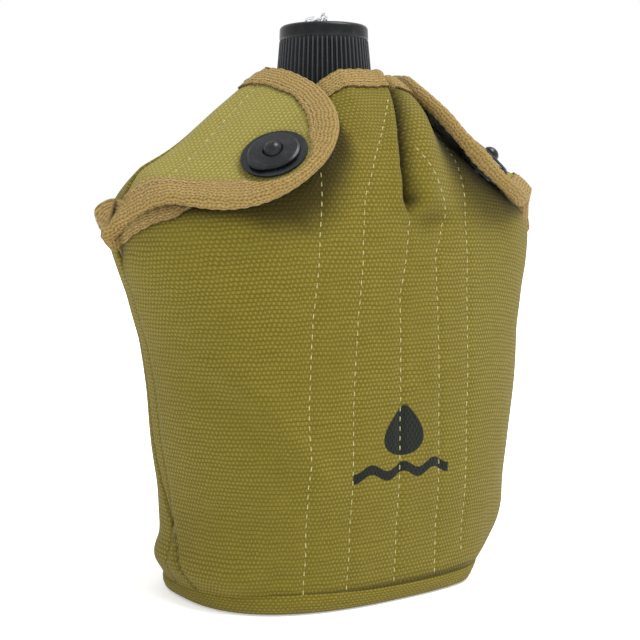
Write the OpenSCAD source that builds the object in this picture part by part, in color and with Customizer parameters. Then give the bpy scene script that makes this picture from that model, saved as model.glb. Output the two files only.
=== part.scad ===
// One-quart flask in a lined canvas belt cover: +X right, front at -Y, +Z up,
// origin at the centre of the base on the resting plane. Millimetres.

/* [Cover] */
// Half width of the cover at its base
base_half_w = 62.5; // [61:0.5:64]
// Half width of the cover at mid height
mid_half_w = 69; // [67:0.5:71]
// Half width between the folded flap corners
corner_half_w = 91; // [88:0.5:93]
// Depth of the front panel in front of the side seams
front_depth = 52; // [50:0.5:53]
// Depth of the back panel behind the side seams
back_depth = 36; // [35.5:0.5:38]
// Height at which the side seams end
seam_top = 122; // [120:1:124]
// Thickness of the canvas
canvas_t = 1.2; // [1:0.1:1.3]
// Thickness of the felt lining
felt_t = 1.6; // [1.2:0.1:1.7]
// Width of the folded tape binding that shows on each face
binding_w = 9; // [8:0.5:10]

/* [Flaps] */
// Height of the shoulder fold at the neck end
ridge_high = 182.8; // [182:0.1:184]
// Distance from the centre to the neck end of the fold
ridge_inner = 28; // [27:0.5:29]
// Distance along a flap from its fold to the snap centre
snap_reach = 37; // [36:0.5:38]
// Distance along the fold from its neck end to the snap centre
snap_along = 32; // [31:0.5:33]

/* [Snap fasteners] */
// Radius of the socket base flange
flange_r = 11; // [10:0.5:11.5]
// Radius of the egg-shaped cap plate at its wide end
plate_r = 8.6; // [8:0.1:9]
// Radius of the stud ball
ball_r = 3.1; // [2.8:0.1:3.2]

/* [Bottle] */
// Half width of the bottle
bottle_half_w = 60.5; // [59:0.5:61]
// Wall thickness of the drawn metal
wall_t = 0.9; // [0.7:0.1:1.2]
// Inner radius of the mouth
mouth_r = 11.8; // [11.5:0.1:12]
// Height of the sealing lip of the mouth
lip_z = 191.5; // [191:0.1:192]

/* [Cap] */
// Radius at the top edge of the cap
cap_top_r = 15.8; // [15.5:0.1:16]
// Radius at the bottom of the cap
cap_low_r = 17.6; // [17.3:0.1:17.8]
// Height of the top face of the cap
cap_top_z = 199; // [198.5:0.1:200]
// Height of the cap itself
cap_h = 25.7; // [24:0.1:25.7]
// Thread pitch of the cap
thread_pitch = 4.5; // [4:0.1:5]

/* [Chain and hanger] */
// Radius of the chain wire
chain_wire_r = 0.5; // [0.4:0.05:0.5]
// Outer length of a chain link
link_len = 7.9; // [7.8:0.1:8]
// Radius of the hanger wire
hook_wire_r = 1.6; // [1.5:0.05:1.8]
// Distance between the two hanger hooks
hook_span = 25.4; // [25:0.1:26]

/* [Hidden] */

canvas_colour = [0.60, 0.54, 0.24];
tape_colour = [0.68, 0.54, 0.34];
felt_colour = [0.45, 0.42, 0.30];
black = [0.07, 0.07, 0.08];
steel = [0.72, 0.73, 0.74];

// ---- sections of the cover, by height ----
half_w_by_z = [[0, base_half_w - 3.5], [5, base_half_w - 0.5], [15, base_half_w + 1.5], [45, mid_half_w - 2],
               [72, mid_half_w], [90, mid_half_w + 2.5], [106, mid_half_w + 7], [seam_top, corner_half_w - 8],
               [137, corner_half_w - 1]];
front_by_z = [[0, front_depth - 8], [5, front_depth - 5.5], [15, front_depth - 4], [45, front_depth - 1],
              [72, front_depth], [115, front_depth - 1.5], [137, front_depth - 5]];
back_by_z = [[0, back_depth - 4], [5, back_depth - 1], [15, back_depth], [115, back_depth],
             [137, back_depth - 2]];
front_power_by_z = [[0, 2.6], [72, 2.5], [110, 2.3], [137, 2.12]];
back_power_by_z = [[0, 2.6], [72, 2.5], [110, 2.1], [137, 1.7]];

function flat_pow(c, p) = sign(c) * pow(abs(c), p);
// A point of the front wall: turn 0 is the right seam, 180 the left
function front_wall(turn, z) = [
    lookup(z, half_w_by_z) * flat_pow(cos(turn), 2 / lookup(z, front_power_by_z)),
    -lookup(z, front_by_z) * flat_pow(sin(turn), 2 / lookup(z, front_power_by_z)), z];
function back_wall(turn, z) = [
    lookup(z, half_w_by_z) * flat_pow(cos(turn), 2 / lookup(z, back_power_by_z)),
    lookup(z, back_by_z) * flat_pow(sin(turn), 2 / lookup(z, back_power_by_z)), z];
function curve(a, b, c, t) = (1 - t) * (1 - t) * a + 2 * t * (1 - t) * b + t * t * c;

// ---- top edge of the front panel, by distance from the centre ----
edge_z_by_x = [[0, 181.5], [9, 181], [15, 177.3], [20, 172.8], [26, 167.4], [45, 153.5],
               [60, 141], [72, 132.5], [78, 128.5], [81, 125]];
edge_y_by_x = [[0, -22.3], [9, -21.5], [15, -20], [20, -18], [26, -16], [45, -16],
               [60, -19], [72, -17], [78, -9], [81, -2]];
function front_edge(turn) =
    let (x = 81 * flat_pow(cos(turn), 0.95), a = abs(x))
    [x, lookup(a, edge_y_by_x), lookup(a, edge_z_by_x)];

// ---- shoulder fold, where the flaps turn over the back panel ----
fold_y = -4;
fold_slope = 0.72;
function fold_z(a) = ridge_high - fold_slope * max(a - ridge_inner, 0);
function back_edge(turn) =
    let (x = corner_half_w * flat_pow(cos(turn), 0.95), a = abs(x))
    a > ridge_inner ? [x, fold_y + 1.6, fold_z(a) - 1.2]
    : [x, fold_y + 1.6 + 31.5 * sqrt(max(1 - pow(a / ridge_inner, 2), 0)), ridge_high - 3];

wall_part = 0.62;
rise_by_side = [[0, 0.5], [0.35, 0.62], [0.6, 0.66], [1, 0.6]];
function front_point(turn, v) =
    let (wall_z = seam_top - 7 + 19 * sin(turn), low = front_wall(turn, wall_z), top = front_edge(turn))
    let (rise = lookup(abs(cos(turn)), rise_by_side))
    v < wall_part ? front_wall(turn, wall_z * v / wall_part)
    : curve(low, [(low.x + top.x) / 2, low.y, low.z + rise * (top.z - low.z)], top,
             (v - wall_part) / (1 - wall_part));
function back_point(turn, v) =
    let (wall_z = 134, low = back_wall(turn, wall_z), top = back_edge(turn))
    v < wall_part ? back_wall(turn, wall_z * v / wall_part)
    : curve(low, [(low.x + top.x) / 2, low.y, low.z + 0.5 * (top.z - low.z)], top,
            (v - wall_part) / (1 - wall_part));

// ---- flap, in its own plane: along the fold from the neck end, and across it ----
fold_dir = unit([1, 0, -fold_slope]);
fold_up = unit([fold_slope, 0, 1]);
flap_lean = 25.3;
across_dir = [0, -cos(flap_lean), 0] - sin(flap_lean) * fold_up;
out_dir = cos(flap_lean) * fold_up + [0, -sin(flap_lean), 0];
fold_start = [ridge_inner, fold_y, ridge_high];
flat_reach = 45;
bend_r = 16;
function flap_point(along, reach, h) =
    let (bend = max(reach - flat_reach, 0) / bend_r * 180 / PI, flat = min(reach, flat_reach))
    fold_start + along * fold_dir + flat * across_dir + bend_r * sin(bend) * across_dir
    - bend_r * (1 - cos(bend)) * out_dir
    + h * (cos(bend) * out_dir + sin(bend) * across_dir);
fold_length = 77;
fold_gap = 1.2;
function cubic(a, b, c, d, t) = pow(1 - t, 3) * a + 3 * t * pow(1 - t, 2) * b
    + 3 * t * t * (1 - t) * c + t * t * t * d;
// Outline of the tongue, from the neck end of the fold round the tip to the corner end
function tip(s) = s < 0.5 ? cubic([1, 1.3], [-6, 20], [3, 52], [29, 52], 2 * s)
    : cubic([29, 52], [50, 52], [63, 27], [77.5, 2], 2 * s - 1);
function inset(s) = let (d = tip(s + 0.01) - tip(s - 0.01)) [d.y, -d.x] / norm(d);

// ---- shells: rows are cross-sections with the same number of points, outer run then inner run ----
function joined(rows) = [for (row = rows) for (p = row) p];
module loft(rows, flat_ends = false) {
    n = len(rows[0]);
    last = (len(rows) - 1) * n;
    half = n / 2;
    sides = [for (i = [0:len(rows) - 2]) for (j = [0:n - 1]) let (k = (j + 1) % n)
        each [[i * n + j, i * n + k, (i + 1) * n + k], [i * n + j, (i + 1) * n + k, (i + 1) * n + j]]];
    first_cap = flat_ends ? [[for (j = [n - 1:-1:0]) j]]
        : [for (j = [0:half - 2]) each [[j, n - 1 - j, n - 2 - j], [j, n - 2 - j, j + 1]]];
    last_cap = flat_ends ? [[for (j = [0:n - 1]) last + j]]
        : [for (j = [0:half - 2]) each [[last + j, last + n - 2 - j, last + n - 1 - j],
                                        [last + j, last + j + 1, last + n - 2 - j]]];
    polyhedron(joined(rows), concat(sides, first_cap, last_cap));
}
// A stack of level rings, lowest first
module tower(rings) {
    loft([for (i = [len(rings) - 1:-1:0]) rings[i]], true);
}
function unit(v) = v / norm(v);

side_turn = 0.4;
turn_steps = 30;
level_steps = 14;
end_crowding = 0.6;
function turn_at(i) = let (u = i / turn_steps)
    side_turn + (180 - 2 * side_turn) * ((1 - end_crowding) * u + end_crowding * (1 - cos(180 * u)) / 2);
low_v = 0.0245;
function v_at(j) = low_v + (1 - low_v) * j / level_steps;
// Offset point of a panel, measured along its outward normal
function front_at(turn, v, h) =
    let (e = 0.01, a = front_point(turn - 1, v), b = front_point(turn + 1, v),
         c = front_point(turn, max(v - e, 0)), d = front_point(turn, min(v + e, 1)))
    front_point(turn, v) + h * unit(cross(d - c, b - a));
function back_at(turn, v, h) =
    let (e = 0.01, a = back_point(turn - 1, v), b = back_point(turn + 1, v),
         c = back_point(turn, max(v - e, 0)), d = back_point(turn, min(v + e, 1)))
    back_point(turn, v) + h * unit(cross(b - a, d - c));
module front_sheet(outer, inner) {
    loft([for (i = [0:turn_steps]) let (t = turn_at(turn_steps - i)) concat(
        [for (j = [0:level_steps]) front_at(t, v_at(j), outer)],
        [for (j = [level_steps:-1:0]) front_at(t, v_at(j), inner)])]);
}
module back_sheet(outer, inner) {
    loft([for (i = [0:turn_steps]) let (t = turn_at(i)) concat(
        [for (j = [0:level_steps]) back_at(t, v_at(j), outer)],
        [for (j = [level_steps:-1:0]) back_at(t, v_at(j), inner)])]);
}

// ---- frame of a snap: z axis along the flap's outward normal, x along the fold ----
snap_centre = fold_start + snap_along * fold_dir + snap_reach * across_dir;
module at_snap() {
    multmatrix([[fold_dir.x, -across_dir.x, out_dir.x, snap_centre.x],
                [fold_dir.y, -across_dir.y, out_dir.y, snap_centre.y],
                [fold_dir.z, -across_dir.z, out_dir.z, snap_centre.z],
                [0, 0, 0, 1]]) children();
}
module both(left) {
    if (left) mirror([1, 0, 0]) children();
    else children();
}
round_fn = 64;
under = -canvas_t - felt_t;
panel_top = under - 2.7;

// ---- cover ----
module stud_seats() {
    for (left = [false, true]) both(left) at_snap() {
        translate([0, 0, panel_top]) cylinder(h = 12, r = 12.5, $fn = round_fn);
        translate([0, 0, panel_top - 8]) cylinder(h = 8 - 3.6, r = 7.5, $fn = round_fn);
        translate([0, 0, panel_top - 9]) cylinder(h = 12, r = 1.7, $fn = round_fn);
    }
}
module cover_front() {
    color(canvas_colour) difference() {
        front_sheet(0, -canvas_t);
        stud_seats();
    }
}
module lining_front() {
    color(felt_colour) difference() {
        front_sheet(-canvas_t - 0.05, under);
        stud_seats();
    }
}
module cover_back() {
    color(canvas_colour) back_sheet(0, -canvas_t);
}
module lining_back() {
    color(felt_colour) back_sheet(-canvas_t - 0.05, under);
}
function base_ring(z, gap) = [for (i = [0:39])
    let (t = i * 9, w = lookup(z, half_w_by_z) - gap, d = lookup(z, t < 180 ? back_by_z : front_by_z) - gap)
    [w * flat_pow(cos(t), 2 / 2.6), d * flat_pow(sin(t), 2 / 2.6), z]];
module cover_bottom() {
    color(canvas_colour) difference() {
        tower([base_ring(0, 0), base_ring(2, 0), base_ring(4.6, 0)]);
        translate([0, 0, canvas_t]) tower([base_ring(0, 1.3), base_ring(2, 1.3), base_ring(6, 1.3)]);
    }
}
module lining_bottom() {
    color(felt_colour) translate([0, 0, canvas_t + 0.1]) tower([base_ring(0, 3.2), base_ring(felt_t, 3.2)]);
}

// ---- folded tape over an edge: two legs and a nose round the cloth ----
tape_t = 1;
tape_gap = 0.2;
function tape_run(outer, inner) = [[1, outer + tape_t], [-0.15, outer + tape_t], [-0.15, inner - tape_t],
    [1, inner - tape_t], [1, inner - tape_gap], [0.05, inner - tape_gap], [0.05, outer + tape_gap],
    [1, outer + tape_gap]];
tape_fold = tape_run(0, under);
function folded(top, down, out) = let (inward = unit(down - top))
    [for (p = tape_fold) top + (p.x * binding_w) * inward + p.y * unit(out)];
function front_tape(t) =
    folded(front_edge(t), front_at(t, 0.955, 0), front_at(t, 0.99, 1) - front_at(t, 0.99, 0));
function back_tape(t) = folded(back_edge(t), back_at(t, 0.955, 0), back_at(t, 0.99, 1) - back_at(t, 0.99, 0));
function flap_tape(s) = let (edge = tip(s), in = inset(s))
    [for (p = tape_fold) let (q = edge + p.x * binding_w * in) flap_point(q.x, max(q.y, fold_gap), p.y)];
module front_binding() {
    color(tape_colour) difference() {
        loft([for (i = [40:-1:0]) front_tape(side_turn + (180 - 2 * side_turn) * i / 40)]);
        stud_seats();
    }
}
module back_binding() {
    color(tape_colour) loft([for (i = [24:-1:0]) back_tape(106 - 32 * i / 24)]);
}

// ---- flaps ----
flap_columns = 26;
flap_levels = 9;
function flap_grid(i, j, h, short) =
    let (s = 0.06 + 0.91 * i / flap_columns, edge = tip(s) + short * inset(s),
         start = [fold_length * s, fold_gap + short / 4],
         q = start + (edge - start) * j / flap_levels)
    flap_point(q.x, max(q.y, fold_gap), h);
module flap_sheet(outer, inner, short) {
    loft([for (i = [flap_columns:-1:0]) concat(
        [for (j = [0:flap_levels]) flap_grid(i, j, outer, short)],
        [for (j = [flap_levels:-1:0]) flap_grid(i, j, inner, short)])]);
}
module socket_hole() {
    at_snap() {
        translate([0, 0, -8]) cylinder(h = 16, r = ball_r + 1, $fn = round_fn);
        prongs(0.1);
    }
}
module flap(left) {
    color(canvas_colour) both(left) difference() {
        flap_sheet(0, -canvas_t, 0.4);
        socket_hole();
    }
}
module flap_lining(left) {
    color(felt_colour) both(left) difference() {
        flap_sheet(-canvas_t - 0.05, under, 1.2);
        socket_hole();
        at_snap() translate([0, 0, under - 4]) cylinder(h = 4.8, r = 8.2, $fn = round_fn);
    }
}
module flap_binding(left) {
    color(tape_colour) both(left) difference() {
        loft([for (i = [44:-1:0]) flap_tape(i / 44)]);
        at_snap() translate([0, 0, -6]) cylinder(h = 12, r = flange_r + 0.1, $fn = round_fn);
    }
}

// ---- snap fasteners ----
module prongs(gap) {
    for (a = [45:90:315]) rotate(a) translate([5.6 - gap, -0.5 - gap, under - 0.1])
        cube([0.8 + 2 * gap, 1 + 2 * gap, 0.3 - under]);
}
module socket_flange(left) {
    color(black) both(left) at_snap() difference() {
        union() {
            cylinder(h = 0.6, r = flange_r, $fn = round_fn);
            prongs(0);
        }
        translate([0, 0, -3]) cylinder(h = 8, r = ball_r + 0.6, $fn = round_fn);
    }
}
module socket_plate(left) {
    color(black) both(left) at_snap() difference() {
        union() {
            translate([0, 0, 1.15]) rotate_extrude($fn = round_fn)
                polygon([[0, 0], [plate_r, 0], [plate_r, 0.4], [plate_r - 0.7, 0.8], [4.5, 1.1], [0, 1.1]]);
            translate([3.4, 0, 1.15]) rotate_extrude($fn = round_fn)
                polygon([[0, 0], [6, 0], [6, 0.4], [5.4, 0.7], [0, 0.8]]);
        }
        translate([0, 0, 1]) cylinder(h = 6, r = ball_r + 0.35, $fn = round_fn);
    }
}
module socket_spring(left) {
    color(steel) both(left) at_snap() translate([0, 0, 0.65]) difference() {
        cylinder(h = 0.45, r = 6.6, $fn = round_fn);
        translate([0, 0, -1]) cylinder(h = 3, r = ball_r + 0.7, $fn = round_fn);
        translate([0, -0.6, -1]) cube([8, 1.2, 3]);
    }
}
module clinch_plate(left) {
    color(black) both(left) at_snap() translate([0, 0, under - 0.1]) difference() {
        cylinder(h = 0.8, r = 8, $fn = round_fn);
        translate([0, 0, -1]) cylinder(h = 3, r = ball_r + 0.8, $fn = round_fn);
        translate([0, 0, 0.1 - under]) prongs(0.1);
    }
}
module stud(left) {
    color(black) both(left) at_snap() {
        translate([0, 0, panel_top]) cylinder(h = 0.7, r = 6, $fn = round_fn);
        translate([0, 0, panel_top - 3.6 - 0.8]) cylinder(h = 5, r = 1.6, $fn = round_fn);
        rotate_extrude($fn = round_fn) polygon([[0, panel_top + 0.3], [2.5, panel_top + 0.3], [2.1, -1.6],
            [2.1, 0.6], [2.8, 1.3], [ball_r, 2.2], [2.8, 3.2], [2.1, 4], [1.2, 4.5], [0, 4.7]]);
    }
}
module stud_washer(left) {
    color(steel) both(left) at_snap() translate([0, 0, panel_top - 3.6 - 0.8]) difference() {
        cylinder(h = 0.7, r = 6, $fn = round_fn);
        translate([0, 0, -1]) cylinder(h = 3, r = 1.65, $fn = round_fn);
    }
}

// ---- bottle ----
bottle_w_by_z = [[0, 0.8], [2, 0.92], [6, 0.98], [14, 1], [122, 1], [138, 0.91], [146, 0.76], [152, 0.62],
                 [157, 0.5], [161, 0.39], [164, 0.32]];
bottle_d_by_z = [[0, 0.72], [2, 0.88], [6, 0.96], [14, 1], [122, 1], [136, 0.94], [144, 0.84], [151, 0.72],
                 [157, 0.6], [161, 0.52], [164, 0.48]];
bottle_power_by_z = [[0, 2.5], [130, 2.5], [160, 2]];
bottle_levels = [0, 2, 6, 14, 60, 100, 122, 138, 146, 152, 157, 161, 164];
bottle_floor = 4;
bottle_front = 44;
bottle_back = 30.5;
weld_z = 92;
neck_base = bottle_floor + 164;
neck_out_r = 12.9;
thread_r = 13.9;
function bottle_ring(z, wall) = [for (i = [0:39]) let (t = i * 9, p = lookup(z, bottle_power_by_z),
    w = bottle_half_w * lookup(z, bottle_w_by_z) - wall,
    d = (t < 180 ? bottle_back : bottle_front) * lookup(z, bottle_d_by_z) - wall)
    [w * flat_pow(cos(t), 2 / p), d * flat_pow(sin(t), 2 / p), z + bottle_floor]];
module bottle_shell() {
    difference() {
        tower([for (z = bottle_levels) bottle_ring(z, 0)]);
        translate([0, 0, wall_t]) tower([for (z = bottle_levels) bottle_ring(z, wall_t + z * 0.0012)]);
    }
}
module slab(low, high) {
    translate([-100, -100, low]) cube([200, 200, high - low]);
}
module bottle_lower() {
    color(steel) intersection() {
        bottle_shell();
        slab(0, weld_z);
    }
}
module bottle_upper() {
    color(steel) difference() {
        intersection() {
            union() {
                bottle_shell();
                translate([0, 0, neck_base - 1]) cylinder(h = 1, r = 17, $fn = round_fn);
            }
            slab(weld_z, neck_base);
        }
        translate([0, 0, neck_base - 5]) cylinder(h = 10, r = neck_out_r, $fn = round_fn);
    }
}
module bottle_neck() {
    color(steel) difference() {
        union() {
            translate([0, 0, neck_base - 3]) cylinder(h = lip_z - neck_base + 3, r = neck_out_r, $fn = round_fn);
            translate([0, 0, neck_base]) cylinder(h = 0.8, r = 16.5, $fn = round_fn);
            for (turn = [0:2]) translate([0, 0, neck_base + 9 + turn * thread_pitch])
                rotate_extrude($fn = round_fn)
                    polygon([[mouth_r + 0.5, -1.4], [neck_out_r, -1.4], [thread_r, -0.3], [thread_r, 0.3],
                         [neck_out_r, 1.4], [mouth_r + 0.5, 1.4]]);
            translate([0, 0, lip_z - 1]) rotate_extrude($fn = round_fn)
                polygon([[mouth_r + 0.5, -1], [neck_out_r, -1], [neck_out_r + 0.6, -0.5], [neck_out_r + 0.8, 0],
                         [neck_out_r + 0.6, 0.5], [neck_out_r, 1], [mouth_r + 0.5, 1]]);
        }
        translate([0, 0, neck_base - 10]) cylinder(h = 60, r = mouth_r, $fn = round_fn);
    }
}

// ---- cap, which turns and rises on the neck ----
cap_bore_r = 14.25;
gasket_t = 2;
cap_low_z = cap_top_z - cap_h;
cap_band_z = cap_top_z - 5;
eye_z = cap_top_z + 2.7;
// Headings of the links from the pin over the cap's edge and down behind it, in degrees above +Y
headings = [-3, 0, -14, -48, -80, -90, -90, -90];
link_pitch = link_len - 4 * chain_wire_r - 0.4;
function chain_step(i) = link_pitch * [0, cos(headings[i]), sin(headings[i])];
function chain_joint(i) = i == 0 ? [0, 0.5, eye_z - 0.1] : chain_joint(i - 1) + chain_step(i - 1);
chain_end = chain_joint(len(headings));
chain_y = chain_end.y;
tab_hole_z = chain_end.z - (link_len / 2 - chain_wire_r - link_pitch / 2);
module neck_collar() {
    low = neck_base + 1.1;
    color(steel) {
        difference() {
            union() {
                translate([0, 0, low]) cylinder(h = 3, r = 15.2, $fn = round_fn);
                translate([-2, 14, low]) cube([4, chain_y - 13.6, 0.8]);
                translate([-2, chain_y - 0.4, low]) cube([4, 0.8, tab_hole_z + 1.8 - low]);
            }
            translate([0, 0, low - 1]) cylinder(h = 6, r = cap_bore_r + 0.1, $fn = round_fn);
            translate([0, chain_y - 2, tab_hole_z]) rotate([-90, 0, 0]) cylinder(h = 4, r = 1, $fn = round_fn);
        }
    }
}
module cap_shell() {
    color(black) difference() {
        rotate_extrude($fn = round_fn)
            polygon([[0, cap_low_z], [cap_low_r - 0.25, cap_low_z], [cap_top_r - 0.25, cap_band_z],
                     [cap_top_r + 0.1, cap_band_z], [cap_top_r, cap_band_z + 3.6],
                     [cap_top_r - 0.5, cap_band_z + 4.6], [cap_top_r - 1.6, cap_top_z], [0, cap_top_z]]);
        translate([0, 0, cap_low_z - 1])
            cylinder(h = lip_z + gasket_t + 1 - cap_low_z, r = cap_bore_r, $fn = round_fn);
        cylinder(h = 300, r = 1.7, $fn = round_fn);
    }
}
module cap_gasket() {
    color([0.55, 0.42, 0.28]) translate([0, 0, lip_z + 0.05]) difference() {
        cylinder(h = gasket_t - 0.05, r = cap_bore_r - 0.1, $fn = round_fn);
        translate([0, 0, -1]) cylinder(h = 4, r = 4.2, $fn = round_fn);
    }
}
module cap_washer() {
    color(steel) translate([0, 0, lip_z + gasket_t - 0.75]) difference() {
        cylinder(h = 0.7, r = 4, $fn = round_fn);
        translate([0, 0, -1]) cylinder(h = 3, r = 1.7, $fn = round_fn);
    }
}
eye_r = 1.6;
module cap_pin() {
    color(steel) {
        translate([0, 0, cap_top_z + 0.05]) cylinder(h = 0.7, r = 3.6, $fn = round_fn);
        translate([0, 0, lip_z + gasket_t - 1.6])
            cylinder(h = cap_top_z - lip_z - gasket_t + 2, r = 1.6, $fn = round_fn);
        translate([0, 0, lip_z + gasket_t - 1.7]) cylinder(h = 0.9, r = 2.6, $fn = round_fn);
        translate([0, 0, eye_z]) rotate([0, 90, 0]) ring(eye_r);
    }
}
module ring(r) {
    rotate_extrude($fn = round_fn) translate([r, 0]) circle(r = chain_wire_r, $fn = 32);
}
// One oval link: its length along z, its width along x
link_half_w = 1.55;
module link() {
    straight = link_len / 2 - chain_wire_r - link_half_w;
    for (side = [-1, 1]) {
        translate([side * link_half_w, 0, -straight]) cylinder(h = 2 * straight, r = chain_wire_r, $fn = 32);
        translate([0, 0, side * straight]) rotate([90, 0, 0]) rotate([0, 0, side > 0 ? 0 : 180])
            rotate_extrude(angle = 180, $fn = round_fn)
                translate([link_half_w, 0]) circle(r = chain_wire_r, $fn = 32);
    }
}
module cap_chain() {
    color(steel) for (i = [0:len(headings) - 1]) translate((chain_joint(i) + chain_joint(i + 1)) / 2)
        rotate([headings[i] - 90, 0, 0]) rotate([0, 0, i % 2 == 0 ? 0 : 90]) link();
}

// ---- belt hanger on the back ----
hook_bar_z = 118;
hook_y = back_depth + 3.4;
hook_top_z = 158;
hook_bend_r = 5;
prong_len = 17;
corner_r = 3;
module wire(length) {
    cylinder(h = length, r = hook_wire_r, $fn = round_fn);
}
module bend(r, angle) {
    rotate_extrude(angle = angle, $fn = round_fn) translate([r, 0]) circle(r = hook_wire_r, $fn = round_fn);
}
module hanger_wire() {
    color(steel) translate([0, hook_y, hook_bar_z]) {
        translate([corner_r - hook_span / 2, 0, 0]) rotate([0, 90, 0]) wire(hook_span - 2 * corner_r);
        for (side = [0, 1]) mirror([side, 0, 0]) translate([hook_span / 2, 0, 0]) {
            translate([-corner_r, 0, corner_r]) rotate([90, 0, 0]) rotate([0, 0, -90]) bend(corner_r, 90);
            translate([0, 0, corner_r]) wire(hook_top_z - hook_bar_z - corner_r);
            translate([0, hook_bend_r, hook_top_z - hook_bar_z]) rotate([90, 0, 90]) bend(hook_bend_r, 180);
            translate([0, 2 * hook_bend_r, hook_top_z - hook_bar_z - prong_len]) wire(prong_len);
            translate([0, 2 * hook_bend_r, hook_top_z - hook_bar_z - prong_len])
                sphere(r = hook_wire_r, $fn = 32);
        }
    }
}
strap_t = 1.4;
strap_half_w = 8.5;
hook_fit = 0.08;
module along_x(length) {
    translate([-length / 2, 0, 0]) rotate([90, 0, 90]) linear_extrude(length) children();
}
module hanger_loop() {
    color(canvas_colour) difference() {
        along_x(2 * strap_half_w) union() {
            translate([hook_y, hook_bar_z]) circle(r = hook_wire_r + hook_fit + strap_t, $fn = round_fn);
            translate([hook_y - 1.4, 80]) square([2.6, hook_bar_z - 80]);
        }
        translate([-20, hook_y, hook_bar_z]) rotate([0, 90, 0])
            cylinder(h = 40, r = hook_wire_r + hook_fit, $fn = round_fn);
    }
}
module hanger_patch() {
    color(canvas_colour) translate([-15, hook_y - 2.7, 74]) cube([30, 1.2, 38]);
}

bottle_lower();
bottle_upper();
bottle_neck();
neck_collar();
cap_shell();
cap_gasket();
cap_washer();
cap_pin();
cap_chain();
cover_front();
cover_back();
cover_bottom();
lining_front();
lining_back();
lining_bottom();
front_binding();
back_binding();
flap(true);  // left_flap
flap(false);  // right_flap
flap_lining(true);  // left_flap_lining
flap_lining(false);  // right_flap_lining
flap_binding(true);  // left_flap_binding
flap_binding(false);  // right_flap_binding
socket_flange(true);  // left_socket_flange
socket_flange(false);  // right_socket_flange
socket_plate(true);  // left_socket_plate
socket_plate(false);  // right_socket_plate
socket_spring(true);  // left_socket_spring
socket_spring(false);  // right_socket_spring
clinch_plate(true);  // left_clinch_plate
clinch_plate(false);  // right_clinch_plate
stud(true);  // left_stud
stud(false);  // right_stud
stud_washer(true);  // left_stud_washer
stud_washer(false);  // right_stud_washer
hanger_wire();
hanger_loop();
hanger_patch();
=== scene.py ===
import math

import bpy
import numpy as np
from mathutils import Matrix, Vector


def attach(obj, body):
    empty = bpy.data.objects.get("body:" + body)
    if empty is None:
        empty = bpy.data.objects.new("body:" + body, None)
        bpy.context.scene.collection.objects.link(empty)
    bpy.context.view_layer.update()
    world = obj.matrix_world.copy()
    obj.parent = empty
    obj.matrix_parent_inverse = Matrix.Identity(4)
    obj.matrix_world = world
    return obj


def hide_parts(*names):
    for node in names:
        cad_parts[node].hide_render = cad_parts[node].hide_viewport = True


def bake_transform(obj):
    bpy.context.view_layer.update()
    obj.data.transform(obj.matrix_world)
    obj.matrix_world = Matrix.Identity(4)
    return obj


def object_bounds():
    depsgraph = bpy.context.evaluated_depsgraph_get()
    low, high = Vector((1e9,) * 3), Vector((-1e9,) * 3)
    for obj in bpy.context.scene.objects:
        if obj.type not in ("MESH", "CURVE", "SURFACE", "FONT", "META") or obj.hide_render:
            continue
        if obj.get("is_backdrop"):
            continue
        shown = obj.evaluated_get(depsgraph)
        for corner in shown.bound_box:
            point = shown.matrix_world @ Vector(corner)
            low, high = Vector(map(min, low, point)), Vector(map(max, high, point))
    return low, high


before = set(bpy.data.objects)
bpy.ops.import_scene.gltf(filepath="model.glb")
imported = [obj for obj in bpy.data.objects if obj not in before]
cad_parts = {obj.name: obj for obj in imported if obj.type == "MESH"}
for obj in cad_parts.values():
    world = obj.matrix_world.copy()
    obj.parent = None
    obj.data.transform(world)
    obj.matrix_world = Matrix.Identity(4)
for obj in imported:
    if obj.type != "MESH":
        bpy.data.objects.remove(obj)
cad_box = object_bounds()

# Everything is worked out in millimetres, in the CAD model's frame, and scaled once when a mesh is made.
MM = 0.001
PI = math.pi
CANVAS_T, FELT_T = 1.2, 1.6
UNDER, FELT_TOP = -CANVAS_T - FELT_T, -CANVAS_T - 0.05
TAPE_W, TAPE_T = 9.0, 1.0
SEAM_TOP = 122.0


# ---------------------------------------------------------------- small maths
def table(*pairs):
    xs, ys = zip(*pairs)
    return lambda x: np.interp(x, xs, ys)


def ramp(x, low, high):
    t = np.clip((x - low) / (high - low), 0, 1)
    return t * t * (3 - 2 * t)


def hump(x, centre, width):
    return np.exp(-(((x - centre) / width) ** 2))


def flat_pow(c, p):
    return np.sign(c) * np.abs(c) ** p


def unit(v):
    v = np.asarray(v, float)
    return v / np.maximum(np.linalg.norm(v, axis=-1, keepdims=True), 1e-9)


def stack(*parts):
    return np.stack(np.broadcast_arrays(*[np.asarray(p, float) for p in parts]), -1)


def run_of(points):
    """Distance along a row of points, starting at 0."""
    return np.concatenate([[0], np.cumsum(np.linalg.norm(np.diff(points, axis=0), axis=1))])


def resampled(points, count):
    run = run_of(points)
    at = np.linspace(0, run[-1], count)
    return np.stack([np.interp(at, run, points[:, k]) for k in range(points.shape[1])], -1)


def ripple(x, z, seed, size):
    """Slow, even unevenness of about 1 either way, with waves near `size` mm long."""
    rng = np.random.default_rng(seed)
    total = 0
    for _ in range(7):
        heading, phase = rng.uniform(0, 2 * PI, 2)
        k = 2 * PI / (size * rng.uniform(0.7, 1.6))
        total = total + np.sin(k * (x * math.cos(heading) + z * math.sin(heading)) + phase)
    return total / 3.5


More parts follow.
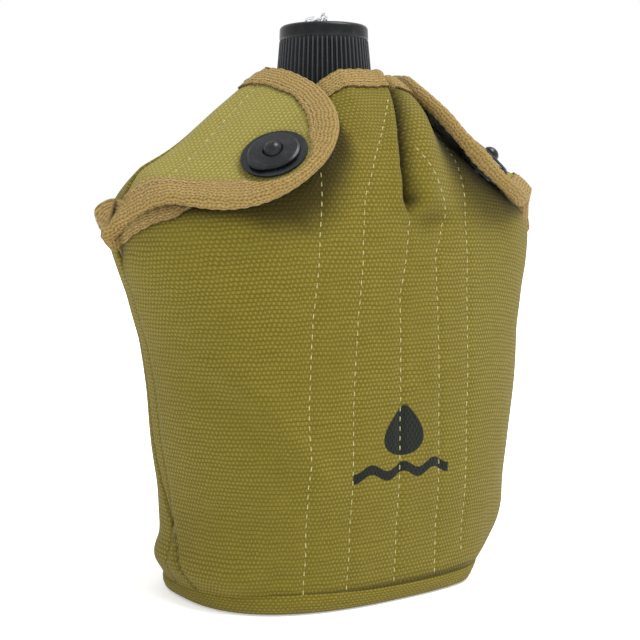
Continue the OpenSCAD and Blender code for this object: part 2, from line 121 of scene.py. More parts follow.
# ---------------------------------------------------------------- the cover's surfaces, as in the CAD model
half_w = table((0, 59), (5, 62), (15, 64), (45, 67), (72, 69), (90, 71.5), (106, 76), (122, 83), (137, 90))
front_d = table((0, 44), (5, 46.5), (15, 48), (45, 51), (72, 52), (115, 50.5), (137, 47))
back_d = table((0, 32), (5, 35), (15, 36), (115, 36), (137, 34))
front_power = table((0, 2.6), (72, 2.5), (110, 2.3), (137, 2.12))
back_power = table((0, 2.6), (72, 2.5), (110, 2.1), (137, 1.7))
front_edge_z = table((0, 181.5), (9, 181), (15, 177.3), (20, 172.8), (26, 167.4), (45, 153.5), (60, 141.5),
                     (72, 136), (78, 133.5), (81, 132))
front_edge_y = table((0, -22.3), (9, -21.5), (15, -20), (20, -18), (26, -16), (45, -16), (60, -19), (72, -17),
                     (78, -9), (81, -2))
front_rise = table((0, 0.5), (0.35, 0.62), (0.6, 0.66), (1, 0.6))
RIDGE_HIGH, RIDGE_INNER, FOLD_SLOPE, FOLD_Y = 182.8, 28.0, 0.72, -4.0
CORNER = 91.0
WALL_PART = 0.62
LOW_V = 0.0245
SIDE_TURN = math.radians(0.02)

# each flap lies in a plane that leans forward from its shoulder fold
LEAN = math.radians(25.3)
FOLD_DIR, FOLD_UP = unit([1, 0, -FOLD_SLOPE]), unit([FOLD_SLOPE, 0, 1])
ACROSS = np.array([0, -math.cos(LEAN), 0]) - math.sin(LEAN) * FOLD_UP
OUT = math.cos(LEAN) * FOLD_UP + np.array([0, -math.sin(LEAN), 0])
FOLD_START = np.array([RIDGE_INNER, FOLD_Y, RIDGE_HIGH])
BACK_DIR = unit([-0.25, math.cos(0.5), -math.sin(0.5)])
FLAT_REACH, BEND_R, FOLD_LENGTH = 45.0, 16.0, 77.0


def fold_z(a):
    return RIDGE_HIGH - FOLD_SLOPE * np.maximum(a - RIDGE_INNER, 0)


def wall(turn, z, front):
    z = z + 0 * turn
    n = (front_power if front else back_power)(z)
    depth = -front_d(z) if front else back_d(z)
    return stack(half_w(z) * flat_pow(np.cos(turn), 2 / n), depth * flat_pow(np.sin(turn), 2 / n), z)


def top_edge(turn, front):
    if front:
        x = 81 * flat_pow(np.cos(turn), 0.95)
        return stack(x, front_edge_y(np.abs(x)), front_edge_z(np.abs(x)))
    x = CORNER * flat_pow(np.cos(turn), 0.95)
    a = np.abs(x)
    behind = 31.5 * np.sqrt(np.maximum(1 - (a / RIDGE_INNER) ** 2, 0))
    inner = a <= RIDGE_INNER
    return stack(x, FOLD_Y + 1.6 + behind, np.where(inner, RIDGE_HIGH - 3, fold_z(a) - 1.2))


def settle(points):
    """The folded corners sag: the left one in and down, the right one out and down."""
    x, y, z = points[..., 0], points[..., 1], points[..., 2]
    near = ramp(np.abs(x), 73, 93) * ramp(z, 119, 136)
    left = x < 0
    slack = 2.0 * hump(np.abs(x), 63, 12) * ramp(z, 119, 136)
    return stack(x + np.where(left, 5.2, 5.0) * near, y, z - np.where(left, 7.6, 7.5) * near - slack)


def tuck(points):
    """The bottom's right corner is rounder than the left."""
    x, y, z = points[..., 0], points[..., 1], points[..., 2]
    return stack(x - (7 * ramp(z, 17, 0) + 7 * ramp(z, 9, 0)) * ramp(x, 26, 60), y, z)


def panel_point(turn, v, front):
    wall_z = SEAM_TOP - 7 + 19 * np.sin(turn) if front else np.full_like(turn, 134.0)
    low, top = wall(turn, wall_z, front), top_edge(turn, front)
    rise = front_rise(np.abs(np.cos(turn))) if front else 0.5
    mid_z = low[..., 2] + rise * (top[..., 2] - low[..., 2])
    mid = stack((low[..., 0] + top[..., 0]) / 2, low[..., 1], mid_z)
    t = np.clip((v - WALL_PART) / (1 - WALL_PART), 0, 1)[..., None]
    arc = (1 - t) ** 2 * low + 2 * t * (1 - t) * mid + t * t * top
    return np.where((v < WALL_PART)[..., None], wall(turn, wall_z * v / WALL_PART, front), arc)


def panel_grid(columns, rows, front):
    dense = np.linspace(SIDE_TURN, PI - SIDE_TURN, 3000)
    line = wall(dense, np.full_like(dense, 100.0), front)
    run = run_of(line)
    crowd = np.cumsum(1 + (2.4 * hump(line[:, 0], 3, 9) if front else 0) + 0 * run)
    turn = np.interp(np.linspace(crowd[0], crowd[-1], columns + 1), crowd, dense)
    fine = np.linspace(LOW_V, 1, 5 * rows + 1)
    grid = panel_point(turn[:, None] + 0 * fine, fine + 0 * turn[:, None], front)
    grid = tuck(grid if front else settle(grid))
    grid = np.stack([resampled(column, rows + 1) for column in grid])
    for _ in range(8):
        grid[:, 1:-1] = (grid[:, :-2] + 2 * grid[:, 1:-1] + grid[:, 2:]) / 4
    across = np.interp(turn, dense, run)[:, None] + 0 * fine[: rows + 1]
    up = np.stack([run_of(column) for column in grid])
    return grid, stack(across, up, np.ones_like(up))


def grid_normals(grid, flip):
    n = unit(np.cross(np.gradient(grid, axis=0), np.gradient(grid, axis=1)))
    return -n if flip else n


# ---------------------------------------------------------------- meshes
def make_mesh(name, points, faces, cloth=None, material=None):
    """A smooth mesh from points in mm. cloth gives each point (across, up, lightness) on the weave; the
    lightness carries painted shade, and painted highlight on the cap.
    """
    mesh = bpy.data.meshes.new(name)
    mesh.from_pydata((np.asarray(points) * MM).tolist(), [], [list(map(int, f)) for f in faces])
    mesh.polygons.foreach_set("use_smooth", np.full(len(mesh.polygons), True))
    if cloth is not None:
        layer = mesh.attributes.new("cloth", "FLOAT_VECTOR", "POINT")
        layer.data.foreach_set("vector", np.asarray(cloth, float).ravel())
    mesh.update()
    piece = bpy.data.objects.new(name, mesh)
    bpy.context.scene.collection.objects.link(piece)
    if material is not None:
        mesh.materials.append(material)
    return piece


def quads(rows, columns, wrap=False):
    index = np.arange(rows * columns).reshape(rows, columns)
    if wrap:
        index = np.concatenate([index, index[:, :1]], axis=1)
    return np.stack([index[:-1, :-1], index[1:, :-1], index[1:, 1:], index[:-1, 1:]], -1).reshape(-1, 4)


def shell(name, outer, inner, cloth, flip, material, open_at=None):
    """A closed sheet between two grids of the same size, without the cells that touch the marked points."""
    rows, columns = outer.shape[:2]
    count = rows * columns
    face = quads(rows, columns)
    if open_at is not None:
        face = face[~open_at.ravel()[face].any(axis=1)]
    start, end = face.ravel(), np.roll(face, -1, axis=1).ravel()
    rim = ~np.isin(start * count + end, end * count + start)
    start, end = start[rim], end[rim]
    sides = np.stack([end, start, start + count, end + count], -1)
    faces = np.concatenate([face, face[:, ::-1] + count, sides])
    if flip:
        faces = faces[:, ::-1]
    used, faces = np.unique(faces, return_inverse=True)
    points = np.concatenate([outer.reshape(-1, 3), inner.reshape(-1, 3)])[used]
    both = np.concatenate([cloth.reshape(-1, 3)] * 2)[used]
    return make_mesh(name, points, faces.reshape(-1, 4), both, material)


def tube(name, rings, cloth, flip, material):
    """A closed skin over rings of points, each ring going once round, with a cap on both ends."""
    rows, columns = rings.shape[:2]
    faces = quads(rows, columns, wrap=True).tolist()
    faces.append(list(range(columns)))
    faces.append(list(range(rows * columns - 1, (rows - 1) * columns - 1, -1)))
    if flip:
        faces = [f[::-1] for f in faces]
    return make_mesh(name, rings.reshape(-1, 3), faces, cloth.reshape(-1, 3), material)


def sheet_offsets(grid, normals, outer, inner):
    return grid + outer * normals, grid + inner * normals


# ---------------------------------------------------------------- materials
class Shader:
    """A material under construction, with a short call for each kind of node."""

    def __init__(self, name):
        self.material = bpy.data.materials.new(name)
        self.material.use_nodes = True
        self.tree = self.material.node_tree
        self.surface = self.tree.nodes["Principled BSDF"]

    def put(self, socket, value):
        if isinstance(value, bpy.types.NodeSocket):
            self.tree.links.new(value, socket)
        elif isinstance(value, (tuple, list)) and len(value) == 3 and socket.type == "RGBA":
            socket.default_value = (*value, 1)
        else:
            socket.default_value = value

    def set(self, **values):
        for key, value in values.items():
            self.put(self.surface.inputs[key.replace("_", " ")], value)
        return self

    def node(self, kind, **settings):
        made = self.tree.nodes.new("ShaderNode" + kind)
        for key, value in settings.items():
            setattr(made, key, value)
        return made

    def math(self, operation, *values, clamp=False):
        made = self.node("Math", operation=operation, use_clamp=clamp)
        for socket, value in zip(made.inputs, values):
            self.put(socket, value)
        return made.outputs[0]

    def span(self, value, low, high, to_low=0.0, to_high=1.0):
        made = self.node("MapRange", interpolation_type="SMOOTHSTEP")
        for socket, v in zip(made.inputs, (value, low, high, to_low, to_high)):
            self.put(socket, v)
        return made.outputs[0]

    def mix(self, share, a, b, blend="MIX"):
        made = self.node("Mix", data_type="RGBA", blend_type=blend)
        self.put(made.inputs["Factor"], share)
        self.put(made.inputs[6], a)
        self.put(made.inputs[7], b)
        return made.outputs[2]

    def cloth(self):
        split = self.node("SeparateXYZ")
        self.put(split.inputs[0], self.node("Attribute", attribute_name="cloth").outputs["Vector"])
        return split.outputs

    def place(self):
        return self.node("TexCoord").outputs["Object"]

    def join(self, x, y, z=0.0):
        made = self.node("CombineXYZ")
        for socket, value in zip(made.inputs, (x, y, z)):
            self.put(socket, value)
        return made.outputs[0]

    def noise(self, vector, scale, detail=2.0, rough=0.5):
        made = self.node("TexNoise")
        self.put(made.inputs["Vector"], vector)
        self.put(made.inputs["Scale"], scale)
        self.put(made.inputs["Detail"], detail)
        self.put(made.inputs["Roughness"], rough)
        return made.outputs[0]

    def bump(self, height, distance, strength=1.0, under=None):
        made = self.node("Bump")
        self.put(made.inputs["Height"], height)
        self.put(made.inputs["Distance"], distance)
        self.put(made.inputs["Strength"], strength)
        if under is not None:
            self.put(made.inputs["Normal"], under)
        self.put(self.surface.inputs["Normal"], made.outputs[0])
        return made.outputs[0]

    def wave(self, value, period, shift=0.0):
        return self.math("COSINE", self.math("MULTIPLY_ADD", value, 2 * PI / period, shift))


INK_X, DROP_Z, DROP_HALF_W, DROP_HALF_H = -3.0, 61.0, 11.5, 9.5
WAVE_Z, WAVE_LENGTH, WAVE_HALF_W = 46.5, 13.0, 20.0


def ink_mask(m):
    """A plain water drop over a wavy line, in ink, on the middle of the front."""
    split = m.node("SeparateXYZ")
    m.put(split.inputs[0], m.place())
    x, _, z = split.outputs
    x = m.math("MULTIPLY_ADD", x, 1000.0, -INK_X)
    z = m.math("MULTIPLY", z, 1000.0)
    c = m.math("MULTIPLY_ADD", z, 1 / DROP_HALF_H, -DROP_Z / DROP_HALF_H)
    body = m.math("MAXIMUM", m.math("SUBTRACT", 1.0, m.math("MULTIPLY", c, c)), 0.0)
    taper = m.math("MAXIMUM", m.math("MULTIPLY_ADD", c, -0.5, 0.5), 0.0)
    room = m.math("MULTIPLY", body, m.math("POWER", taper, 1.3))
    x_share = m.math("MULTIPLY", x, 1 / DROP_HALF_W)
    drop = m.span(m.math("SUBTRACT", room, m.math("MULTIPLY", x_share, x_share)), 0.0, 0.03)
    crest = m.math("MULTIPLY_ADD", m.wave(x, WAVE_LENGTH), 1.3, WAVE_Z)
    off = m.math("ABSOLUTE", m.math("SUBTRACT", z, crest))
    ends = m.span(m.math("ABSOLUTE", x), WAVE_HALF_W, WAVE_HALF_W - 0.6)
    line = m.math("MULTIPLY", m.span(off, 1.9, 1.5), ends)
    return m.math("MAXIMUM", drop, line)


def canvas(name, dark, light, marked=False):
    m = Shader(name)
    u, v, shade = m.cloth()
    flat = m.join(u, v)
    drift = m.noise(flat, 0.14, 2.0)
    shift = m.math("MULTIPLY_ADD", drift, 6.0, -3.0)
    weft = m.wave(u, 1.55, shift)
    warp = m.wave(v, 2.8, m.math("MULTIPLY", shift, 0.5))
    dots = m.math("MAXIMUM", m.math("MULTIPLY", weft, warp), 0.0)
    weave = m.math("MULTIPLY_ADD", m.math("ABSOLUTE", warp), 0.26, m.math("MULTIPLY", dots, 0.70))
    slub = m.noise(m.join(m.math("MULTIPLY", u, 0.10), m.math("MULTIPLY", v, 0.70)), 1.0, 3.0, 0.6)
    fuzz = m.noise(flat, 2.4, 2.0, 0.7)
    cloud = m.noise(flat, 0.035, 3.0, 0.55)
    height = m.math("MULTIPLY_ADD", fuzz, 0.3, m.math("MULTIPLY_ADD", slub, 0.3, weave))
    tone = m.span(m.math("MULTIPLY_ADD", fuzz, 0.5, m.math("MULTIPLY_ADD", slub, 0.4, weave)), 0.2, 1.3)
    colour = m.mix(tone, dark, light)
    colour = m.mix(m.span(cloud, 0.3, 0.75, 0.0, 0.3), colour, m.mix(0.35, dark, light))
    # painted shade: where the cloth's lightness is below 1 the weave is darkened towards this near-black
    # olive
    colour = m.mix(m.math("SUBTRACT", 1.0, shade, clamp=True), colour, (0.022, 0.016, 0.002))
    if marked:
        worn = m.math("MULTIPLY", ink_mask(m), m.span(m.math("ADD", weave, fuzz), 0.2, 0.7, 0.8, 1.0))
        colour = m.mix(worn, colour, (0.010, 0.012, 0.010))
    m.set(Base_Color=colour, Roughness=0.95, Specular_IOR_Level=0.12, Sheen_Weight=0.06, Sheen_Roughness=0.5)
    m.bump(height, 0.00034, 0.9)
    return m.material


def tape_cloth():
    m = Shader("herringbone tape")
    u, v, _ = m.cloth()
    flat = m.join(u, v)
    drift = m.noise(flat, 0.25, 2.0)
    v = m.math("ADD", v, m.math("MULTIPLY_ADD", m.wave(u, 7.3), 0.16, m.math("MULTIPLY", drift, 1.1)))
    zigzag = m.math("PINGPONG", v, 1.25)
    stroke = m.wave(m.math("MULTIPLY_ADD", zigzag, 0.8, m.math("MULTIPLY_ADD", drift, 1.6, u)), 1.45)
    row = m.math("ABSOLUTE", m.math("SINE", m.math("MULTIPLY", v, PI / 1.25)))
    fuzz = m.noise(flat, 1.8, 3.0, 0.75)
    cloud = m.noise(flat, 0.08, 3.0, 0.55)
    twill = m.math("MULTIPLY_ADD", stroke, 0.14, 0.14)
    height = m.math("MULTIPLY_ADD", m.math("POWER", row, 0.7), 0.45, twill)
    height = m.math("MULTIPLY_ADD", fuzz, 0.8, height)
    colour = m.mix(m.span(height, 0.35, 1.3), (0.115, 0.070, 0.018), (0.36, 0.25, 0.088))
    colour = m.mix(m.span(cloud, 0.35, 0.7, 0.0, 0.35), colour, (0.225, 0.148, 0.042))
    m.set(Base_Color=colour, Roughness=0.92, Specular_IOR_Level=0.12, Sheen_Weight=0.06, Sheen_Roughness=0.5)
    m.bump(height, 0.0004, 0.9)
    return m.material


def felt():
    m = Shader("wool felt")
    place = m.place()
    hair = m.noise(place, 2600.0, 4.0, 0.75)
    tuft = m.noise(place, 420.0, 3.0, 0.6)
    colour = m.mix(m.span(hair, 0.3, 0.7), (0.12, 0.105, 0.05), (0.30, 0.265, 0.15))
    colour = m.mix(m.span(tuft, 0.4, 0.7, 0.0, 0.5), colour, (0.20, 0.18, 0.095))
    m.set(Base_Color=colour, Roughness=0.97, Specular_IOR_Level=0.1, Sheen_Weight=0.3, Sheen_Roughness=0.6)
    m.bump(m.math("MULTIPLY_ADD", hair, 0.6, tuft), 0.0006, 0.8)
    return m.material


def thread(name, dark, light):
    m = Shader(name)
    place = m.place()
    strand = m.noise(place, 1800.0, 2.0, 0.6)
    colour = m.mix(m.span(strand, 0.3, 0.7), dark, light)
    m.set(Base_Color=colour, Roughness=0.7, Sheen_Weight=0.1)
    m.bump(strand, 0.0001, 0.6)
    return m.material


def moulded_plastic():
    m = Shader("black moulded plastic")
    place = m.place()
    crest = m.cloth()[2]
    grain = m.noise(place, 1400.0, 3.0, 0.6)
    scuff = m.noise(place, 160.0, 4.0, 0.65)
    colour = m.mix(m.span(scuff, 0.45, 0.75), (0.004, 0.0045, 0.005), (0.014, 0.0155, 0.018))
    # painted highlight on the rib crests and painted shade in the grooves between them, from the cloth's
    # third value
    colour = m.mix(m.span(crest, 0.55, 1.0, 0.0, 0.8), colour, (0.045, 0.050, 0.056))
    colour = m.mix(m.span(crest, 0.4, 0.0, 0.0, 0.9), colour, (0.001, 0.001, 0.0012))
    m.set(Base_Color=colour, Roughness=m.span(scuff, 0.3, 0.75, 0.26, 0.40), Specular_IOR_Level=0.22)
    m.bump(grain, 0.00005, 0.5)
    return m.material


def black_enamel():
    m = Shader("black enamelled brass")
    place = m.place()
    peel = m.noise(place, 900.0, 2.0, 0.5)
    wear = m.noise(place, 240.0, 4.0, 0.65)
    colour = m.mix(m.span(wear, 0.45, 0.72), (0.005, 0.006, 0.007), (0.014, 0.016, 0.019))
    m.set(Base_Color=colour, Roughness=m.span(wear, 0.3, 0.75, 0.22, 0.40), Specular_IOR_Level=0.25)
    m.bump(peel, 0.00006, 0.5)
    return m.material


def metal(name, dark, light, rough_low, rough_high, stretch=(1, 1, 1)):
    m = Shader(name)
    scaled = m.node("Mapping")
    m.put(scaled.inputs["Vector"], m.place())
    scaled.inputs["Scale"].default_value = stretch
    brush = m.noise(scaled.outputs[0], 900.0, 3.0, 0.7)
    haze = m.noise(m.place(), 70.0, 4.0, 0.6)
    colour = m.mix(m.span(m.math("MULTIPLY_ADD", brush, 0.4, haze), 0.5, 0.95), dark, light)
    m.set(Base_Color=colour, Metallic=1.0, Roughness=m.span(haze, 0.3, 0.7, rough_low, rough_high))
    m.bump(brush, 0.00004, 0.5)
    return m.material


def cork():
    m = Shader("composition cork")
    place = m.place()
    cell = m.node("TexVoronoi")
    m.put(cell.inputs["Vector"], place)
    cell.inputs["Scale"].default_value = 900.0
    grain = m.noise(place, 500.0, 3.0, 0.6)
    colour = m.mix(grain, (0.20, 0.11, 0.05), (0.45, 0.30, 0.17))
    m.set(Base_Color=colour, Roughness=0.85)
    m.bump(cell.outputs["Distance"], 0.0002, 0.7)
    return m.material


def webbing_cloth():
    m = Shader("heavy webbing")
    u, v, _ = m.cloth()
    rib = m.wave(v, 1.1)
    step = m.wave(u, 1.4)
    fuzz = m.noise(m.join(u, v), 2.5, 2.0, 0.7)
    nap = m.math("MULTIPLY_ADD", fuzz, 0.3, 0.4)
    height = m.math("MULTIPLY_ADD", m.math("MULTIPLY", rib, step), 0.5, nap)
    colour = m.mix(m.span(height, 0.0, 1.1), (0.20, 0.16, 0.045), (0.44, 0.37, 0.14))
    m.set(Base_Color=colour, Roughness=0.92, Specular_IOR_Level=0.2, Sheen_Weight=0.15)
    m.bump(height, 0.0003, 0.9)
    return m.material


CANVAS = canvas("olive canvas", (0.078, 0.058, 0.0042), (0.212, 0.173, 0.026))
MARKED = canvas("olive canvas, marked", (0.078, 0.058, 0.0042), (0.212, 0.173, 0.026), marked=True)
# the flaps' canvas: the same canvas painted lighter and greyer, as painted light from above on their upward
# faces
TOP_LIT_CANVAS = canvas("olive canvas, painted top light", (0.150, 0.122, 0.018), (0.300, 0.262, 0.070))
TAPE = tape_cloth()
FELT = felt()
THREAD = thread("pale thread", (0.27, 0.24, 0.075), (0.50, 0.46, 0.21))
TAN_THREAD = thread("tan thread", (0.22, 0.15, 0.05), (0.42, 0.31, 0.13))
PLASTIC = moulded_plastic()
ENAMEL = black_enamel()
BRIGHT = metal("bright steel", (0.55, 0.56, 0.58), (0.86, 0.87, 0.88), 0.14, 0.3)
DRAWN = metal("drawn steel", (0.46, 0.47, 0.48), (0.72, 0.73, 0.74), 0.25, 0.42, (1, 1, 14))
DULL = metal("dull plated steel", (0.20, 0.20, 0.19), (0.42, 0.42, 0.40), 0.35, 0.55)
CORK = cork()
WEBBING = webbing_cloth()


def finish_node(material, *names):
    for name in names:
        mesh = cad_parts[name].data
        mesh.materials.clear()
        mesh.materials.append(material)


SIDES = ("left", "right")
ENAMELLED = ("socket_flange", "socket_plate", "clinch_plate", "stud")
finish_node(DRAWN, "bottle_lower", "bottle_upper", "bottle_neck")
finish_node(BRIGHT, "neck_collar", "cap_washer", "cap_pin", "cap_chain")
finish_node(CORK, "cap_gasket")
finish_node(DULL, "hanger_wire")
for side in SIDES:
    finish_node(ENAMEL, *[f"{side}_{part}" for part in ENAMELLED])
    finish_node(BRIGHT, f"{side}_socket_spring", f"{side}_stud_washer")


# ---------------------------------------------------------------- the cap's ribbed grip
CAP_LOW, CAP_BAND, CAP_TOP, CAP_ROOF, CAP_BORE = 173.3, 194.0, 199.0, 193.5, 14.25
RIB_LOW_R, RIB_TAPER, RIB_DEPTH, PIN_HOLE_R = 17.45, 1.75, 0.62, 1.7
RIBS, RIB_STEPS = 60, 10


def cap_rings():
    """(radius, height, rib share) of each ring: inside from the pin's hole down, then up the outside."""
    low_z, high_z = CAP_LOW + 1.3, CAP_BAND - 0.6
    rings = [(PIN_HOLE_R, CAP_ROOF, 0), (5, CAP_ROOF, 0), (CAP_BORE - 0.4, CAP_ROOF, 0),
             (CAP_BORE, CAP_ROOF - 0.4, 0), (CAP_BORE, 184, 0), (CAP_BORE, CAP_LOW + 0.4, 0),
             (CAP_BORE + 0.4, CAP_LOW, 0), (16.6, CAP_LOW, 0), (17.2, CAP_LOW + 0.5, 0.5),
             (RIB_LOW_R, low_z, 1)]
    rings += [(RIB_LOW_R - RIB_TAPER * t, low_z + t * (high_z - low_z), 1) for t in np.linspace(0.1, 1, 10)]
    rings += [(15.6, CAP_BAND - 0.2, 0.3), (15.9, CAP_BAND + 0.1, 0), (15.95, CAP_BAND + 0.5, 0),
              (15.85, CAP_TOP - 1.6, 0), (15.7, CAP_TOP - 1, 0), (15.3, CAP_TOP - 0.5, 0),
              (14.7, CAP_TOP - 0.15, 0), (13.9, CAP_TOP, 0), (9, CAP_TOP, 0), (PIN_HOLE_R, CAP_TOP, 0)]
    return rings


def cap_grip():
    turn = np.arange(RIBS * RIB_STEPS) * 2 * PI / (RIBS * RIB_STEPS)
    crest = np.clip(0.5 + 0.62 * np.cos(RIBS * turn), 0, 1)
    r, z, ribbed = (np.array(k)[:, None] for k in zip(*cap_rings()))
    reach = r + ribbed * RIB_DEPTH * (crest - 0.55)
    points = stack(reach * np.cos(turn), reach * np.sin(turn), z)
    index = np.arange(points.shape[0] * points.shape[1]).reshape(points.shape[:2])
    over, side_on = np.roll(index, -1, axis=0), np.roll(index, -1, axis=1)
    faces = np.stack([index, over, np.roll(over, -1, axis=1), side_on], -1).reshape(-1, 4)
    # the third value marks each rib's crest, for the painted highlight on crests and painted shade in grooves
    cloth = stack(turn + 0 * z, z + 0 * turn, np.where(ribbed > 0.4, crest, 0.5))
    piece = make_mesh("cap_grip", points.reshape(-1, 3), faces[:, ::-1], cloth.reshape(-1, 3), PLASTIC)
    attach(piece, "cap")
    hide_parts("cap_shell")


cap_grip()

# ---------------------------------------------------------------- stitching
def stitches(name, rows, body, material, dash=2.3, gap=1.0, radius=0.2, lift=0.07):
    """One piece of short thread dashes along rows of (points, outward normals)."""
    points, faces = [], []
    sides, rings = 6, 5
    swell = [0.35, 0.9, 1.0, 0.9, 0.35]
    sink = np.array([-0.45, -0.02, 0.0, -0.02, -0.45])[:, None]
    for path, normals in rows:
        run = run_of(path)
        starts = np.arange(0.4, run[-1] - dash, dash + gap)
        for start in starts:
            at = start + np.linspace(0, dash, rings)
            p = np.stack([np.interp(at, run, path[:, k]) for k in range(3)], -1)
            n = unit(np.stack([np.interp(at, run, normals[:, k]) for k in range(3)], -1))
            along = unit(np.gradient(p, axis=0))
            across = unit(np.cross(n, along))
            centre = p + (lift + sink) * n
            first = len(points)
            for k in range(rings):
                for a in np.arange(sides) * 2 * PI / sides:
                    spoke = math.cos(a) * across[k] + math.sin(a) * n[k]
                    points.append(centre[k] + radius * swell[k] * spoke)
            faces += (quads(rings, sides, wrap=True) + first).tolist()
            faces.append([first + k for k in range(sides)])
            faces.append([first + rings * sides - 1 - k for k in range(sides)])
    piece = make_mesh(name, points, faces, material=material)
    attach(piece, body)
    return piece


# ---------------------------------------------------------------- folded tape
def tape_profile():
    """(inward, outward) points once round a folded tape: outer leg, nose, inner leg, and back inside."""
    low = UNDER - TAPE_T
    nose_r = (TAPE_T + 0.15 - low) / 2
    mid = (TAPE_T + low) / 2
    outer = [(x, TAPE_T + 0.05 - 0.25 * ramp(x, 7.6, 9.0)) for x in np.linspace(TAPE_W, 1.4, 12)]
    nose = [(1.0 - 1.7 * math.sin(a), mid + nose_r * math.cos(a)) for a in np.linspace(0.25, PI - 0.25, 11)]
    inner = [(x, low - 0.05 + 0.25 * ramp(x, 7.6, 9.0)) for x in np.linspace(1.4, TAPE_W, 10)]
    back = [(x, UNDER - 0.12) for x in np.linspace(TAPE_W, 0.6, 6)] + [(0.6, 0.12)]
    back += [(x, 0.12) for x in np.linspace(2.2, TAPE_W, 5)]
    return np.array(outer + nose + inner + back)


PROFILE = tape_profile()
ROW_IN, ROW_HIGH = 6.9, 1.05
STITCH_PITCH = 3.7


def tape(name, edge, inward, out, body, flip, seed=1, sunk=None, lay=None):
    """Tape folded over an edge, with the slight pucker that its stitches pull into it."""
    run = run_of(edge)
    pull = 0.22 * np.cos(2 * PI * run / STITCH_PITCH) + 0.35 * ripple(run, 0 * run, seed, 17)
    swell = 0.16 * np.cos(2 * PI * run / STITCH_PITCH + 0.8) + 0.25 * ripple(run, 0 * run, seed + 50, 23)
    x, h = PROFILE[:, 0], PROFILE[:, 1]
    share = np.clip(x / TAPE_W, -0.2, 1)
    wide = x + pull[:, None] * ramp(share, 0.5, 1.0)
    outward = np.sign(h + 1.4)
    high = h + outward * swell[:, None] * ramp(share, 0.98, 0.35) - outward * 0.22 * hump(share, 0.8, 0.09)
    if sunk is not None:
        high = np.where(h > 0, high - sunk * (high + 0.25), high)
    if lay is not None:
        rings = lay(wide, high)
    else:
        rings = edge[:, None] + wide[..., None] * inward[:, None] + high[..., None] * out[:, None]
    across = run_of(PROFILE)
    cloth = stack(run[:, None], across[None, :], np.ones((1, len(x))))
    piece = tube(name, rings, cloth, flip, TAPE)
    if body is not None:
        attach(piece, body)
    return piece


def tape_row(edge, inward, out):
    """The row of stitches along a tape's outer leg."""
    return edge + ROW_IN * inward + ROW_HIGH * out, out


# ---------------------------------------------------------------- front panel
COLUMNS, ROWS = 156, 150
# the stitch lines down the front, as x at each height, and the pleat's crease
line_1 = table((0, -37.2), (70, -37.9), (99, -36.1), (141, -30.5), (160, -27))
line_2 = table((0, -22.6), (69, -22.9), (98, -20.7), (138, -15.4), (151, -9.3), (172, 5.1))
line_3 = table((0, -3.8), (68, -4.7), (105, -4.4), (130, 2.1))
line_4 = table((0, 14.6), (68, 11.8), (118, 11.5), (131, 18.0), (146, 11.5), (158, 3.6))
line_5 = table((0, 28.0), (65, 25.4), (108, 26.4), (139, 28.1), (165, 30))
pressed_lines = ((line_1, 5, 160), (line_2, 5, 176), (line_3, 5, 131), (line_4, 5, 131), (line_5, 12, 160))
crease_x = table((126, 3.5), (138, 1.2), (147, 1.0), (157, 3.0), (172, 8.2), (182, 11))
seam_behind = table((6, -12), (14, -6), (24, -1), (40, 5), (60, 7), (125, 7))


def side_shape(x, z):
    """The left side nips in above the bottom and bags out over it. The right side only bags out."""
    low_left = (2.6 * hump(z, 13, 5.5) - 1.6 * hump(z, 36, 14)) * ramp(x, -46, -58)
    low_right = 1.5 * hump(z, 21, 9) * ramp(x, 44, 58)
    high = 4.0 * hump(x, 70, 22) * hump(z, 80, 46) + 1.4 * hump(x, -70, 22) * hump(z, 105, 24)
    return low_left + low_right + high


def front_relief(x, z):
    """How far the front stands out from the plain wall: folds, pressed lines, and the puffed pleat."""
    lift = 0.45 * ripple(x, z, 3, 60) * ramp(z, 4, 20)
    lift = lift - 0.5 * hump(z, 31 - 0.11 * (x + 53), 6) - 0.35 * hump(z, 14, 4)
    diagonal = x + 54 - 0.68 * (76 - z)
    drag = 1.3 * hump(diagonal, 0, 5) - 0.9 * hump(diagonal, -9, 4.5)
    lift = lift + drag * ramp(z, 36, 50) * ramp(z, 88, 74)
    for line, low, high in pressed_lines:
        near = hump(x, line(z), 1.3) * ramp(z, low, low + 4) * ramp(z, high, high - 4)
        lift = lift - 0.5 * near
    s = x - crease_x(z)
    held = ramp(z, 130, 137)
    puff = 3.4 * hump(s, 8.5, 8) * ramp(s, -0.3, 1.8) * (1 - 0.3 * ramp(z, 160, 182))
    lift = lift + held * (puff + 0.7 * hump(s, -3, 2.5) - 2.6 * hump(s, -0.3, 0.8))
    lift = lift - 1.1 * hump(z, 129, 3.5) * hump(x, 14, 9)
    lift = lift - 1.6 * hump(x, 2.2, 3.2) * hump(z, 138, 3.6)
    lift = lift - 0.8 * hump(z, 127, 3.5) * hump(x, 6, 8)
    return lift


front, front_cloth = panel_grid(COLUMNS, ROWS, True)
x, z = front[..., 0], front[..., 2]
side_run = np.minimum(front_cloth[..., 0], front_cloth[-1, 0, 0] - front_cloth[..., 0])
relief = front_relief(x, z) * ramp(side_run, 0, 10)
seam = hump(side_run + seam_behind(z), 0, 0.9)
relief = relief + side_shape(x, z) - 0.9 * seam
plain, plain_n = front, grid_normals(front, True)
front = front + relief[..., None] * plain_n
front_n = grid_normals(front, True)
s = x - crease_x(z)
# painted shade in the pleat's crease and on its right-hand side
dark = (0.95 * hump(s, -0.2, 0.8) + 0.4 * hump(s, 1.6, 2.0)) * ramp(z, 134, 141)
# painted shade in the dimple at the crease's foot and under the puff's lower end
dark = dark + 0.7 * hump(x, 2.6, 2.5) * hump(z, 136.5, 2.5) + 0.25 * hump(x, 12, 7) * hump(z, 130.5, 2.5)
# painted shade in the side seam's groove, where it comes round onto the front at the bottom
dark = dark + 0.7 * hump(side_run + seam_behind(z), 0, 0.7)
# painted shade along the top of the bottom's rim, where the front meets it
dark = dark + 0.75 * hump(z, 6.6, 1.1) * ramp(x, -58, -40) * ramp(x, 46, 24)
